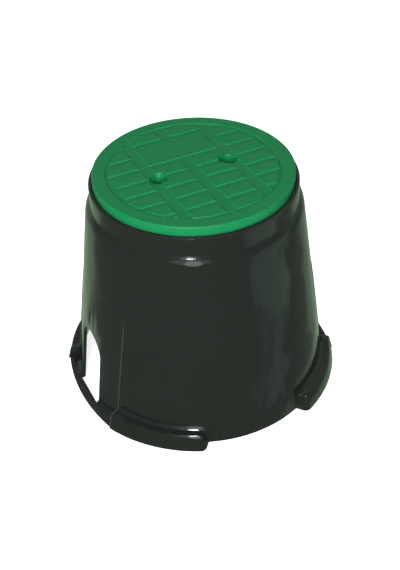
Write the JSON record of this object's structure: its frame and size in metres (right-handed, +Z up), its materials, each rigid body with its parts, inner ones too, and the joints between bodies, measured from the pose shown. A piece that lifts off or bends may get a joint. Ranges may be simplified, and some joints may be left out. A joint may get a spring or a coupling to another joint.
{
  "type": "irrigation valve box",
  "caption": "Round in-ground valve box: tapered black shell open below, arched pipe slots, flanged feet and a green drop-in tread lid with finger holes.",
  "frame": {"origin": "on the ground under the middle of the box, which is the centre of its round base", "axes": "+Z up along the axis of the box and of its lid; +X through the pipe slots; +Y towards the plain panel on the lid"},
  "size_m": [0.2672, 0.254, 0.229],
  "materials": {
    "body": "smooth semi-gloss moulded black plastic",
    "lid": "fine satin moulded green plastic"
  },
  "bodies": {
    "box": {"body": "body"},
    "lid": {"lid": "lid"}
  },
  "joints": [
    {"name": "lid_lift", "type": "slide", "parent": "box", "child": "lid", "axis": [0, 0, 1], "range_m": [0, 0.12]}
  ]
}
